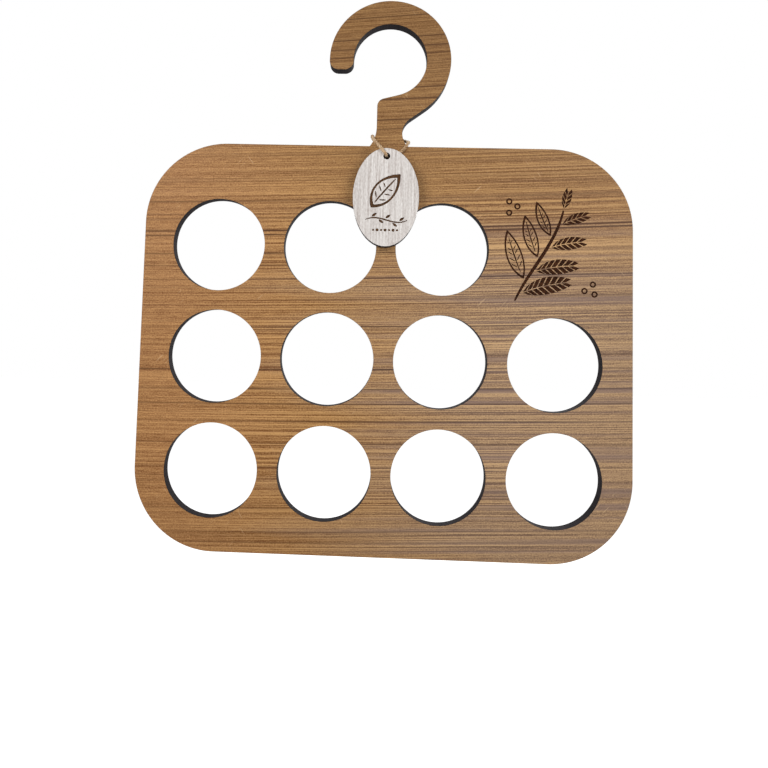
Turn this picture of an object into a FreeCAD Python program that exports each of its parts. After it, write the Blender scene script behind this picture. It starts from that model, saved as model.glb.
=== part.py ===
"""Scarf hanger: a laser-cut board with a question-mark hook, rows of round holes and an oval tag on a twine loop.

Frame: +X to the right and +Z up as seen from the front, +Y to the back. The origin is the axis of the rail
that the hook hangs on, halfway through the board. All sizes are in millimetres.
"""
import FreeCAD, Part
import math
import os

import Sketcher
from FreeCAD import Vector

# Driving dimensions: every size that can be set by itself, slopes in degrees.
SIZES = {
    # Board: a faced panel, so its thickness is core and two veneers together.
    "board_width": 300,
    "board_height": 250,
    "board_corner_radius": 50,
    "board_thickness": 7,
    "veneer_thickness": 0.5,
    # Holes that the scarves are drawn through.
    "hole_diameter": 57,
    "hole_pitch": 69,
    "first_row_drop": 63.5,
    "hole_edge_margin": 12,
    # Hook, cut in one piece with the board.
    "hook_inner_radius": 23,
    "hook_band_width": 15,
    "hook_tip_drop": 6.4,
    "hook_tip_corner_radius": 5.5,
    "hook_floor_slope": 14.5,
    "hook_throat_radius": 5,
    "hook_back_slope": 36,
    # Neck between hook and board, a little to the right of the rail axis.
    "neck_width": 16,
    "neck_shift": 0.5,
    "neck_fillet_radius": 11,
    "neck_length": 8.6,
    "right_flare_reach": 3.5,
    "left_flare_height": 12,
    "left_flare_reach": 4,
    # Oval tag, a faced panel like the board.
    "tag_width": 40,
    "tag_height": 60,
    "tag_thickness": 6.6,
    "tag_face_thickness": 0.3,
    "tag_hole_diameter": 4,
    "tag_hole_inset": 5,
    "tag_hang": 8.7,
    "tag_left_shift": 0.9,
    "tag_standoff": 2.4,
    # Twine and the knot that closes its loop.
    "twine_diameter": 2,
    "knot_length": 5.6,
    "knot_diameter": 4.8,
}

# Sizes that follow from the ones above, as sheet formulas. Drops are measured down from the rail axis.
DERIVED = {
    "hook_outer_radius": "hook_inner_radius + hook_band_width",
    "neck_right": "neck_width / 2 + neck_shift",
    "neck_left": "neck_width / 2 - neck_shift",
    "waist_drop": "(hook_outer_radius + neck_fillet_radius"
                  " - (neck_right + neck_fillet_radius) * sin(hook_back_slope)) / cos(hook_back_slope)",
    "board_top_drop": "waist_drop + neck_length",
    "core_thickness": "board_thickness - 2 * veneer_thickness",
    "tag_core_thickness": "tag_thickness - 2 * tag_face_thickness",
    "tag_hole_drop": "board_top_drop + tag_hang",
    "tag_back": "board_thickness / 2 + tag_standoff",
}

# The twine: round the back of the neck from the knot, forward past its left side, down over the front of
# the tag, back through the tag's hole, up behind the tag and round the neck's right side to the knot.
TWINE_ROUTE = [
    (-SIZES["knot_length"] / 2, 6.1, -47.6),
    (-5.4, 6.1, -47.6),
    (-8.6, 5.3, -47.3),
    (-10.1, 3.2, -47.4),
    (-10.1, -3.2, -48.4),
    (-9.3, -6.8, -50.8),
    (-6.0, -13.9, -57.6),
    (-1.0, -13.9, -63.4),
    (-0.9, -9.4, -63.6),
    (-0.9, -4.7, -63.5),
    (8.6, -4.7, -58.4),
    (11.5, -5.4, -54.4),
    (12.7, -3.2, -52.2),
    (12.5, 0.6, -51.0),
    (11.2, 4.0, -49.4),
    (8.8, 5.5, -48.2),
    (5.4, 6.1, -47.6),
    (SIZES["knot_length"] / 2, 6.1, -47.6),
]
LEFT_TAIL = [(-0.9, 6.1, -48.4), (-1.6, 6.6, -51.2), (-2.9, 6.2, -54.4), (-3.4, 5.4, -57.6)]
RIGHT_TAIL = [(0.9, 6.1, -48.4), (1.9, 6.5, -50.8), (3.0, 6.4, -53.6), (4.6, 5.8, -56.2)]

# An arc takes this much of the shorter run at a bend of the twine.
BEND_SHARE = 0.45

doc = FreeCAD.newDocument("scarf_hanger")
sheet = doc.addObject("Spreadsheet::Sheet", "sizes")


def fill_sheet():
    """Writes the driving sizes as plain numbers and the derived ones as formulas, each under its alias."""
    cells = [(alias, str(value)) for alias, value in SIZES.items()]
    cells += [(alias, "=" + formula) for alias, formula in DERIVED.items()]
    for row, (alias, content) in enumerate(cells, start=1):
        sheet.set(f"A{row}", alias)
        sheet.setAlias(f"B{row}", alias)
        sheet.set(f"B{row}", content)
    doc.recompute()


def size(alias):
    """The present value of one size of the sheet."""
    return float(sheet.get(alias))


def bound(expression):
    """An expression in which every alias of the sheet is written with the sheet's name."""
    words = expression.replace("(", "( ").replace(")", " )").split()
    known = set(SIZES) | set(DERIVED)
    return " ".join(f"sizes.{word}" if word in known else word for word in words)


def point(x, z):
    """A point of a sketch on the XZ plane."""
    return Vector(x, z, 0)


def line(start, end):
    return Part.LineSegment(start, end)


def arc(centre, radius, from_degrees, to_degrees):
    """A counter-clockwise arc of a circle."""
    circle = Part.Circle(centre, Vector(0, 0, 1), radius)
    return Part.ArcOfCircle(circle, math.radians(from_degrees), math.radians(to_degrees))


def bearing(place):
    """The direction of a place as seen from the rail axis, in degrees."""
    return math.degrees(math.atan2(place.y, place.x))


def front_sketch(body, name, depth):
    """A sketch parallel to the board, at the depth behind the rail axis that an expression gives."""
    sketch = body.newObject("Sketcher::SketchObject", name)
    plane = next(item for item in body.Origin.OriginFeatures if item.Role == "XZ_Plane")
    sketch.AttachmentSupport = (plane, [""])
    sketch.MapMode = "FlatFace"
    sketch.setExpression("AttachmentOffset.Base.z", f"-({bound(depth)})")
    return sketch


def dimension(sketch, name, expression, kind, *places):
    """A named dimension of a sketch, bound to the sheet. places end with the value that it has now."""
    index = sketch.addConstraint(Sketcher.Constraint(kind, *places))
    sketch.renameConstraint(index, name)
    sketch.setExpression(f"Constraints.{name}", bound(expression))


def relate(sketch, kind, *places):
    """A geometric relation of a sketch."""
    sketch.addConstraint(Sketcher.Constraint(kind, *places))


def draw_outline(sketch):
    """The closed outline of hook, neck and board, clockwise from the top of the hook."""
    inner = size("hook_inner_radius")
    outer = size("hook_outer_radius")
    tip_end = -size("hook_tip_drop")
    tip_radius = size("hook_tip_corner_radius")
    left = -size("neck_left")
    right = size("neck_right")
    waist = -size("waist_drop")
    top = -size("board_top_drop")
    bottom = top - size("board_height")
    side = size("board_width") / 2
    corner = size("board_corner_radius")
    back = math.radians(size("hook_back_slope"))
    floor = math.radians(size("hook_floor_slope"))

    # The back of the hook leaves the outer circle along a tangent and is rounded into the waist.
    notch = size("neck_fillet_radius")
    leave = point(outer * math.sin(back), -outer * math.cos(back))
    notch_centre = point(right + notch, waist)
    land = notch_centre + point(-notch * math.sin(back), notch * math.cos(back))

    # Both flares of the neck start upright and end at the top edge.
    reach = size("right_flare_reach")
    rise = size("neck_length")
    right_radius = (rise ** 2 + reach ** 2) / (2 * reach)
    right_turn = math.degrees(math.asin(rise / right_radius))
    left_reach = size("left_flare_reach")
    left_rise = size("left_flare_height")
    left_radius = (left_rise ** 2 + left_reach ** 2) / (2 * left_reach)
    left_turn = math.degrees(math.asin(left_rise / left_radius))

    # The hook's floor is a tangent of the inner circle, rounded into the neck's left side.
    throat = size("hook_throat_radius")
    throat_x = left + throat
    throat_z = (throat_x * math.sin(floor) - inner - throat) / math.cos(floor)
    throat_centre = point(throat_x, throat_z)
    floor_start = throat_centre + point(-throat * math.sin(floor), throat * math.cos(floor))
    floor_end = point(inner * math.sin(floor), -inner * math.cos(floor))

    centre = point(0, 0)
    edges = {
        "outer_arc": arc(centre, outer, bearing(leave), 180),
        "back_line": line(land, leave),
        "waist_arc": arc(notch_centre, notch, 90 + math.degrees(back), 180),
        "right_flare": arc(point(right + right_radius, waist), right_radius, 180, 180 + right_turn),
        "top_right": line(point(right + reach, top), point(side - corner, top)),
        "corner_top_right": arc(point(side - corner, top - corner), corner, 0, 90),
        "right_edge": line(point(side, top - corner), point(side, bottom + corner)),
        "corner_bottom_right": arc(point(side - corner, bottom + corner), corner, 270, 360),
        "bottom_edge": line(point(side - corner, bottom), point(corner - side, bottom)),
        "corner_bottom_left": arc(point(corner - side, bottom + corner), corner, 180, 270),
        "left_edge": line(point(-side, bottom + corner), point(-side, top - corner)),
        "corner_top_left": arc(point(corner - side, top - corner), corner, 90, 180),
        "top_left": line(point(corner - side, top), point(left - left_reach, top)),
        "left_flare": arc(point(left - left_radius, top + left_rise), left_radius, -left_turn, 0),
        "neck_side": line(point(left, top + left_rise), point(left, throat_z)),
        "throat_arc": arc(throat_centre, throat, 90 + math.degrees(floor), 180),
        "floor_line": line(floor_start, floor_end),
        "inner_arc": arc(centre, inner, bearing(floor_end), 180),
        "tip_inner_side": line(point(-inner, 0), point(-inner, tip_end + tip_radius)),
        "tip_inner_corner": arc(point(-inner - tip_radius, tip_end + tip_radius), tip_radius, 270, 360),
        "tip_end": line(point(-inner - tip_radius, tip_end), point(tip_radius - outer, tip_end)),
        "tip_outer_corner": arc(point(tip_radius - outer, tip_end + tip_radius), tip_radius, 180, 270),
        "tip_outer_side": line(point(-outer, tip_end + tip_radius), point(-outer, 0)),
    }
    at = {name: sketch.addGeometry(edge, False) for name, edge in edges.items()}
    start, end, middle = 1, 2, 3
    origin = (-1, 1)

    # Smooth joins, each as the end of one edge that meets the end of another.
    smooth = [
        ("outer_arc", start, "back_line", end),
        ("back_line", start, "waist_arc", start),
        ("waist_arc", end, "right_flare", start),
        ("top_right", end, "corner_top_right", end),
        ("corner_top_right", start, "right_edge", start),
        ("right_edge", end, "corner_bottom_right", end),
        ("corner_bottom_right", start, "bottom_edge", start),
        ("bottom_edge", end, "corner_bottom_left", end),
        ("corner_bottom_left", start, "left_edge", start),
        ("left_edge", end, "corner_top_left", end),
        ("corner_top_left", start, "top_left", start),
        ("left_flare", end, "neck_side", start),
        ("neck_side", end, "throat_arc", end),
        ("throat_arc", start, "floor_line", start),
        ("floor_line", end, "inner_arc", start),
        ("inner_arc", end, "tip_inner_side", start),
        ("tip_inner_side", end, "tip_inner_corner", end),
        ("tip_inner_corner", start, "tip_end", start),
        ("tip_end", end, "tip_outer_corner", end),
        ("tip_outer_corner", start, "tip_outer_side", start),
        ("tip_outer_side", end, "outer_arc", end),
    ]
    for first, first_end, second, second_end in smooth:
        relate(sketch, "Tangent", at[first], first_end, at[second], second_end)
    relate(sketch, "Coincident", at["right_flare"], end, at["top_right"], start)
    relate(sketch, "Coincident", at["top_left"], end, at["left_flare"], start)
    for name in ("top_right", "bottom_edge", "top_left", "tip_end"):
        relate(sketch, "Horizontal", at[name])
    for name in ("right_edge", "left_edge", "neck_side", "tip_inner_side", "tip_outer_side"):
        relate(sketch, "Vertical", at[name])
    for name in ("outer_arc", "inner_arc"):
        relate(sketch, "Coincident", at[name], middle, *origin)
    relate(sketch, "Horizontal", at["waist_arc"], middle, at["waist_arc"], end)
    relate(sketch, "Horizontal", at["top_right"], start, at["top_left"], end)
    for name in ("corner_bottom_right", "corner_bottom_left", "corner_top_left"):
        relate(sketch, "Equal", at["corner_top_right"], at[name])
    relate(sketch, "Equal", at["tip_inner_corner"], at["tip_outer_corner"])

    radii = {
        "outer_arc": "hook_outer_radius",
        "inner_arc": "hook_inner_radius",
        "waist_arc": "neck_fillet_radius",
        "corner_top_right": "board_corner_radius",
        "throat_arc": "hook_throat_radius",
        "tip_inner_corner": "hook_tip_corner_radius",
    }
    for name, alias in radii.items():
        dimension(sketch, f"{name}_radius", alias, "Radius", at[name], size(alias))
    dimension(sketch, "back_slope", "hook_back_slope * 1 deg", "Angle", at["back_line"], back)
    dimension(sketch, "floor_slope", "hook_floor_slope * 1 deg", "Angle", at["floor_line"], floor)
    dimension(sketch, "waist_place", "neck_right", "DistanceX", *origin, at["waist_arc"], end, right)
    dimension(sketch, "neck_place", "neck_left", "DistanceX", at["neck_side"], start, *origin, -left)
    dimension(sketch, "right_reach", "right_flare_reach", "DistanceX",
              at["right_flare"], start, at["right_flare"], end, reach)
    dimension(sketch, "right_rise", "neck_length", "DistanceY",
              at["right_flare"], end, at["right_flare"], start, rise)
    dimension(sketch, "left_reach", "left_flare_reach", "DistanceX",
              at["left_flare"], start, at["left_flare"], end, left_reach)
    dimension(sketch, "left_rise", "left_flare_height", "DistanceY",
              at["left_flare"], start, at["left_flare"], end, left_rise)
    dimension(sketch, "right_half", "board_width / 2", "DistanceX", *origin, at["right_edge"], start, side)
    dimension(sketch, "left_half", "board_width / 2", "DistanceX", at["left_edge"], start, *origin, side)
    dimension(sketch, "height", "board_height", "DistanceY",
              at["bottom_edge"], start, at["top_right"], end, top - bottom)
    dimension(sketch, "tip_drop", "hook_tip_drop", "DistanceY", at["tip_end"], start, *origin, -tip_end)


def grid_columns():
    """How many columns of holes the board is wide enough for."""
    spare = size("board_width") - size("hole_diameter") - 2 * size("hole_edge_margin")
    return 1 + int(spare / size("hole_pitch"))


def grid_rows():
    """How many rows of holes the board is high enough for, the first one at its own drop."""
    lowest = size("board_height") - size("hole_diameter") / 2 - size("hole_edge_margin")
    return 1 + int((lowest - size("first_row_drop")) / size("hole_pitch"))


def draw_hole(sketch, row):
    """The left hole of a row, counted from the top."""
    pitches = (grid_columns() - 1) / 2
    across = size("hole_pitch") * pitches
    down = size("board_top_drop") + size("first_row_drop") + row * size("hole_pitch")
    circle = Part.Circle(point(-across, -down), Vector(0, 0, 1), size("hole_diameter") / 2)
    hole = sketch.addGeometry(circle, False)
    origin = (-1, 1)
    dimension(sketch, "diameter", "hole_diameter", "Diameter", hole, size("hole_diameter"))
    dimension(sketch, "across", f"hole_pitch * {pitches}", "DistanceX", hole, 3, *origin, across)
    dimension(sketch, "down", f"board_top_drop + first_row_drop + hole_pitch * {row}", "DistanceY",
              hole, 3, *origin, down)


def pad(body, sketch, name, thickness):
    """A layer as thick as an expression says, from the sketch towards the front."""
    layer = body.newObject("PartDesign::Pad", name)
    layer.Profile = sketch
    layer.setExpression("Length", bound(thickness))
    sketch.Visibility = False
    doc.recompute()
    return layer


def cut_holes(body, name, row, depth, columns, rows):
    """Holes through a layer: one pocket at the left end of its lowest row, repeated across and upwards."""
    sketch = front_sketch(body, f"{name}_sketch", depth)
    draw_hole(sketch, row)
    pocket = body.newObject("PartDesign::Pocket", f"{name}_pocket")
    pocket.Profile = sketch
    pocket.Type = "ThroughAll"
    pocket.Midplane = True
    doc.recompute()
    pattern = body.newObject("PartDesign::LinearPattern", f"{name}_pattern")
    pattern.Originals = [pocket]
    pattern.Direction = (sketch, ["H_Axis"])
    pattern.Mode = "Extent"
    pattern.setExpression("Length", f"sizes.hole_pitch * {columns - 1}")
    pattern.Occurrences = columns
    pattern.Direction2 = (sketch, ["V_Axis"])
    pattern.Mode2 = "Extent"
    pattern.setExpression("Length2", f"sizes.hole_pitch * {rows - 1}")
    pattern.Occurrences2 = rows
    body.Tip = pattern
    doc.recompute()


def make_board_layer(label, back, thickness):
    """One layer of the board: the whole outline with its grid of holes. back is the depth of its rear face.

    The grid's top right place is left solid for the engraving.
    """
    body = doc.addObject("PartDesign::Body", label)
    body.Label = label
    sketch = front_sketch(body, f"{label}_outline", back)
    draw_outline(sketch)
    pad(body, sketch, f"{label}_pad", thickness)
    columns, rows = grid_columns(), grid_rows()
    cut_holes(body, f"{label}_top_row", 0, back, columns - 1, 1)
    cut_holes(body, f"{label}_lower_rows", rows - 1, back, columns, rows - 1)
    return body


def make_tag_layer(label, back, thickness):
    """One layer of the oval tag, with the twine's hole. back is the depth of its rear face."""
    body = doc.addObject("PartDesign::Body", label)
    body.Label = label
    sketch = front_sketch(body, f"{label}_outline", back)
    width, height = size("tag_width"), size("tag_height")
    inset, radius = size("tag_hole_inset"), size("tag_hole_diameter") / 2
    hole_place = point(-size("tag_left_shift"), -size("tag_hole_drop"))
    centre = hole_place + point(0, inset - height / 2)
    oval = sketch.addGeometry(
        Part.Ellipse(centre + point(0, height / 2), centre + point(width / 2, 0), centre), False)
    sketch.exposeInternalGeometry(oval)
    long_axis, short_axis = oval + 1, oval + 2
    hole = sketch.addGeometry(Part.Circle(hole_place, Vector(0, 0, 1), radius), False)
    origin = (-1, 1)
    ends = [sketch.getPoint(long_axis, 1).y, sketch.getPoint(long_axis, 2).y]
    top_end = 1 + ends.index(max(ends))
    relate(sketch, "Vertical", long_axis)
    relate(sketch, "Vertical", hole, 3, oval, 3)
    dimension(sketch, "height", "tag_height", "Distance", long_axis, height)
    dimension(sketch, "width", "tag_width", "Distance", short_axis, width)
    dimension(sketch, "hole_diameter", "tag_hole_diameter", "Diameter", hole, 2 * radius)
    dimension(sketch, "hole_left", "tag_left_shift", "DistanceX", hole, 3, *origin, -hole_place.x)
    dimension(sketch, "hole_drop", "tag_hole_drop", "DistanceY", hole, 3, *origin, -hole_place.y)
    dimension(sketch, "hole_inset", "tag_hole_inset", "DistanceY", hole, 3, long_axis, top_end, inset)
    pad(body, sketch, f"{label}_pad", thickness)
    return body


def twine_path(label, route):
    """A wire of straight runs joined by tangent arcs, with the radius of each arc printed."""
    points = [Vector(*place) for place in route]
    edges = []
    radii = []
    here = points[0]
    for before, corner, after in zip(points, points[1:], points[2:]):
        arriving = (corner - before).normalize()
        leaving = (after - corner).normalize()
        half_turn = arriving.getAngle(leaving) / 2
        step = BEND_SHARE * min((corner - before).Length, (after - corner).Length)
        radius = step / math.tan(half_turn)
        bend_start = corner - arriving * step
        bend_end = corner + leaving * step
        inward = (leaving - arriving).normalize()
        bend_middle = corner + inward * (radius / math.cos(half_turn) - radius)
        edges.append(Part.LineSegment(here, bend_start).toShape())
        edges.append(Part.Arc(bend_start, bend_middle, bend_end).toShape())
        radii.append(radius)
        here = bend_end
    edges.append(Part.LineSegment(here, points[-1]).toShape())
    path = doc.addObject("Part::Feature", f"{label}_path")
    path.Shape = Part.Wire(edges)
    print(f"{label}: {path.Shape.Length:.1f} mm, bend radii", " ".join(f"{radius:.1f}" for radius in radii))
    return path


def make_twine(label, route):
    """A round tube along a route, of the twine's diameter."""
    path = twine_path(label, route)
    section = doc.addObject("Part::Circle", f"{label}_section")
    section.setExpression("Radius", "sizes.twine_diameter / 2")
    along = Vector(*route[1]) - Vector(*route[0])
    section.Placement = FreeCAD.Placement(Vector(*route[0]), FreeCAD.Rotation(Vector(0, 0, 1), along))
    tube = doc.addObject("Part::Sweep", label)
    tube.Label = label
    tube.Sections = [section]
    tube.Spine = (path, [f"Edge{number + 1}" for number in range(len(path.Shape.Edges))])
    tube.Solid = True
    tube.Frenet = False
    doc.recompute()
    expected = math.pi * (size("twine_diameter") / 2) ** 2 * path.Shape.Length
    print(f"{label}: volume over section times length {tube.Shape.Volume / expected:.4f}")
    return tube


def make_knot(label):
    """The knot behind the neck: a barrel whose flat ends take the ends of the loop, with two short tails."""
    body = doc.addObject("PartDesign::Body", f"{label}_barrel")
    loop_start, loop_end = Vector(*TWINE_ROUTE[0]), Vector(*TWINE_ROUTE[-1])
    body.Placement = FreeCAD.Placement((loop_start + loop_end) * 0.5, FreeCAD.Rotation())
    sketch = front_sketch(body, f"{label}_profile", "0")
    half = size("knot_length") / 2
    end_radius = size("twine_diameter") / 2
    swell = size("knot_diameter") / 2 - end_radius
    crown = (half ** 2 + swell ** 2) / (2 * swell)
    turn = math.degrees(math.asin(half / crown))
    crown_centre = point(0, end_radius + swell - crown)
    axis = sketch.addGeometry(line(point(-half, 0), point(half, 0)), False)
    right_end = sketch.addGeometry(line(point(half, 0), point(half, end_radius)), False)
    barrel = sketch.addGeometry(arc(crown_centre, crown, 90 - turn, 90 + turn), False)
    left_end = sketch.addGeometry(line(point(-half, end_radius), point(-half, 0)), False)
    relate(sketch, "Coincident", axis, 2, right_end, 1)
    relate(sketch, "Coincident", right_end, 2, barrel, 1)
    relate(sketch, "Coincident", barrel, 2, left_end, 1)
    relate(sketch, "Coincident", left_end, 2, axis, 1)
    relate(sketch, "Horizontal", axis)
    relate(sketch, "Vertical", right_end)
    relate(sketch, "Vertical", left_end)
    relate(sketch, "Equal", left_end, right_end)
    relate(sketch, "Symmetric", axis, 1, axis, 2, -1, 1)
    dimension(sketch, "length", "knot_length", "DistanceX", axis, 1, axis, 2, 2 * half)
    dimension(sketch, "end_radius", "twine_diameter / 2", "DistanceY", right_end, 1, right_end, 2, end_radius)
    crown_formula = ("((knot_length / 2) ^ 2 + (knot_diameter / 2 - twine_diameter / 2) ^ 2)"
                     " / (knot_diameter - twine_diameter)")
    dimension(sketch, "crown_radius", crown_formula, "Radius", barrel, crown)
    revolution = body.newObject("PartDesign::Revolution", f"{label}_turned")
    revolution.Profile = sketch
    revolution.ReferenceAxis = (sketch, ["H_Axis"])
    revolution.Angle = 360
    doc.recompute()
    tails = [make_twine(f"{label}_left_tail", LEFT_TAIL), make_twine(f"{label}_right_tail", RIGHT_TAIL)]
    knot = doc.addObject("Part::MultiFuse", label)
    knot.Label = label
    knot.Shapes = [body] + tails
    doc.recompute()
    return knot


def check(parts):
    """Stops before anything is written if an object failed or a sub-part is not one sound solid."""
    for item in doc.Objects:
        if "Invalid" in item.State or "Error" in item.State:
            raise RuntimeError(f"{item.Name} failed: {item.State}")
    for part in parts:
        shape = part.Shape
        if shape.isNull() or not shape.isValid() or len(shape.Solids) != 1:
            raise RuntimeError(f"{part.Label} is not one valid solid")


def export(parts):
    """Writes one STEP file for each sub-part, named by its label."""
    os.makedirs("parts", exist_ok=True)
    for part in parts:
        part.Shape.exportStep(os.path.join("parts", f"{part.Label}.step"))
        print(f"{part.Label}: {part.Shape.Volume:.1f} mm3")


def main():
    fill_sheet()
    parts = [
        make_board_layer("board_core", "core_thickness / 2", "core_thickness"),
        make_board_layer("board_front_veneer", "-1 * core_thickness / 2", "veneer_thickness"),
        make_board_layer("board_back_veneer", "board_thickness / 2", "veneer_thickness"),
        make_tag_layer("tag_core", "-1 * tag_back - tag_face_thickness", "tag_core_thickness"),
        make_tag_layer("tag_front_face", "-1 * tag_back - tag_thickness + tag_face_thickness",
                       "tag_face_thickness"),
        make_tag_layer("tag_back_face", "-1 * tag_back", "tag_face_thickness"),
        make_twine("twine_loop", TWINE_ROUTE),
        make_knot("twine_knot"),
    ]
    doc.recompute()
    check(parts)
    export(parts)


main()
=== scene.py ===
"""Looks of a scarf hanger: veneered board, burnt sprig, pale oval tag, and jute twine with its knot."""
import math
import random

import bmesh
import bpy
from mathutils import Matrix, Vector
from mathutils.geometry import interpolate_bezier


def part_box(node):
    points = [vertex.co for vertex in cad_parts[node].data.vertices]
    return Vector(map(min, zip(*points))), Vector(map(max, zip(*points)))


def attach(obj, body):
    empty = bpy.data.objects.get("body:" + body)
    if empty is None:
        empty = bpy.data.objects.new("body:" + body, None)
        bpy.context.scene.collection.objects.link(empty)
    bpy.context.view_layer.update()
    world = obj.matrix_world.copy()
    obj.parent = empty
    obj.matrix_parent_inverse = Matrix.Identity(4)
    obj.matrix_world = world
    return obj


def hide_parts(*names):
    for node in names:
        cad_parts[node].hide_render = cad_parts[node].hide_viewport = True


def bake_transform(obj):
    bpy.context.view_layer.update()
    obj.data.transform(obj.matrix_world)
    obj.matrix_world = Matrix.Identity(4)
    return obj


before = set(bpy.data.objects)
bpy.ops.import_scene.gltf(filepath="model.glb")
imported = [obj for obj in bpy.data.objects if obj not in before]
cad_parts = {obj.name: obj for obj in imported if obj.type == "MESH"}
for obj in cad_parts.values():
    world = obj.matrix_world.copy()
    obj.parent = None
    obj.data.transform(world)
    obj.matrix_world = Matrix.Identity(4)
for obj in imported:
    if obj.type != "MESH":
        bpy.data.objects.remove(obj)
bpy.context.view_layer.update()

MM = 0.001


def srgb(red, green, blue):
    """A colour as it reads on a screen, 0 to 255, as linear light."""
    def linear(level):
        level /= 255
        return level / 12.92 if level <= 0.04045 else ((level + 0.055) / 1.055) ** 2.4
    return (linear(red), linear(green), linear(blue), 1.0)


# Camera of the photograph, in the hanger's own frame: metres, and degrees about X, Y and Z
CAMERA_PLACE = (-0.005325, -0.370909, -0.166659)
CAMERA_TURN = (93.1465, -1.5141, 1.6863)
CAMERA_LENS = 28.125
CAMERA_SENSOR = 36.0
CAMERA_SHIFT = (0.03436, -0.11884)
CAMERA_NEAR = 0.01

# Studio: a floor well below the hanging board, two lamps in front of the board and a wide one behind it
WHITE = (1.0, 1.0, 1.0, 1.0)
ROOM_LIGHT = 0.32
FLOOR_HEIGHT = -0.62
FLOOR_SIZE = 8.0
FLOOR_PAINT = (0.9, 0.9, 0.9, 1.0)
FLOOR_ROUGHNESS = 0.9
FLOOR_GLOW = 0.74
LAMP_AIM = Vector((0.0, 0.0, -0.15))
LAMPS = {
    "key_lamp": {"place": (-0.40, -0.60, 0.10), "size": 0.34, "power": 2.55},
    "fill_lamp": {"place": (0.40, -0.60, 0.08), "size": 0.34, "power": 2.40},
    "back_lamp": {"place": (0.35, 0.80, 0.20), "size": 0.80, "power": 6.0},
}

# Twine: the route of its loop round the neck and through the tag, and of its two tails, in metres
TWINE_THICKNESS = 2.0 * MM
LOOP_ROUTE = [
    (-0.0028, 0.0061, -0.0476), (-0.0054, 0.0061, -0.0476), (-0.0086, 0.0053, -0.0473),
    (-0.0101, 0.0032, -0.0474), (-0.0101, -0.0032, -0.0484), (-0.0100, -0.0064, -0.0502),
    (-0.0093, -0.0110, -0.0532), (-0.0068, -0.0143, -0.0566), (-0.0013, -0.0141, -0.0629),
    (-0.0013, -0.0114, -0.0631), (-0.0012, -0.0080, -0.0631), (-0.0010, -0.0047, -0.0631),
    (0.0016, -0.0047, -0.0622), (0.0086, -0.0047, -0.0584), (0.0114, -0.0051, -0.0545),
    (0.0127, -0.0032, -0.0522), (0.0125, 0.0006, -0.0510), (0.0112, 0.0040, -0.0494),
    (0.0088, 0.0055, -0.0482), (0.0054, 0.0061, -0.0476), (0.0028, 0.0061, -0.0476),
]
LEFT_TAIL = [
    (-0.0009, 0.0061, -0.0484), (-0.0016, 0.0066, -0.0512),
    (-0.0029, 0.0062, -0.0544), (-0.0034, 0.0054, -0.0576),
]
RIGHT_TAIL = [
    (0.0009, 0.0061, -0.0484), (0.0019, 0.0065, -0.0508),
    (0.0030, 0.0064, -0.0536), (0.0046, 0.0058, -0.0562),
]
LINE_STEPS = 16

# Make of the twine: plies laid round its line, and a knot that is a coil round the loop's two ends
PLIES = 3
PLY_RADIUS = 0.53 * MM
PLY_OFFSET = 0.50 * MM
PLY_LAY = 6.4 * MM
PLY_ROUNDNESS = 2
KNOT_MIDDLE = Vector((0.0, 0.0061, -0.0476))
KNOT_HALF_LENGTH = 1.75 * MM
KNOT_COIL_RADIUS = 1.36 * MM
KNOT_OUTSET = 1.08
KNOT_TURNS = 2.5
KNOT_STEPS = 20

# Loose fibres of the twine: how many there are on each stretch, and how long the longest is
FUZZ_SEED = 11
LOOP_FUZZ = (150, 2.2 * MM)
COIL_FUZZ = (50, 1.6 * MM)
TAIL_FUZZ = (14, 1.8 * MM)
TAIL_FRAY = (26, 2.6 * MM)
FRAY_REACHES = (0.6, 1.0)
FRAY_BENDS = (0.1, 0.55)
FRAY_CURL = 1.6
FRAY_DEPTH = 0.6 * MM
FRAY_SPREAD = 0.8 * MM
FIBRE_ROOT = 0.85
FIBRE_LEANS = (0.4, 1.2)
FIBRE_REACHES = (0.5, 1.0)
FIBRE_LIFT = 0.5
FIBRE_CURL = 0.7
FIBRE_RADIUS = 0.03 * MM
FIBRE_TIP = 0.4
FIBRE_STEPS = (0.0, 0.35, 0.7, 1.0)
FLAT_FIBRE_GAP = 0.1 * MM

# Plates: their rounded rims, the turn that makes a corner, and how squarely a flat face looks ahead
BOARD_RIM = 0.05 * MM
TAG_RIM = 0.06 * MM
SEAM = 0.001 * MM
SMOOTH_REACH = 4.0 * MM
SHARP_TURN = math.radians(24)
FLAT_FACE = 0.95

# Burnt drawings: places are millimetres from the drawing's middle, or shares or steps along a line
BOARD_BURN = 0.3 * MM
TAG_BURN = 0.15 * MM
BRUSH_TAPER = 0.6
LEAF_STEPS = 25
LEAF_SWELLS = ((0.25, 1.1), (0.72, 0.95))
BARB_PITCH = 4.0 * MM
BARB_STEPS = 4
BARB_GAP = 0.6 * MM
BARE_TIP_STEPS = 9
SPRIG_MIDDLE = Vector((0.100, -0.113))
SPRIG_STEM = ((-21, -36), (-12, -16), (3, -2), (8, 20))
SPRIG_LEAVES = (0.08, 0.20, 0.33, 0.46, 0.59, 0.71, 0.84)
SPRIG_LEAN = math.radians(50)
SPRIG_STALK = 2.3 * MM
LOWEST_LEAF = 35
LEAF_SHRINK = 17
LEAF_BELLY = 0.20
CROWN_LEAF = Vector((4.0, 15.0)) * MM
BERRIES = ((-25, 18), (-20, 22), (-25, 25), (21, -29), (26, -25), (27, -31))
TAG_LEAF = ((-9, -6.5), (8.5, 14))
VINE = ((-12, -14), (-3.5, -9.5), (4.5, -18.5), (13, -14))
VINE_LEAVES = ((4, 1), (9, -1), (14, 1), (19, -1), (24, 1))
DOTS = 7
DOT_PITCH = 2.4
DOT_ROW = -20.1
DOT_RADII = (0.6 * MM, 0.85 * MM)

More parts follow.
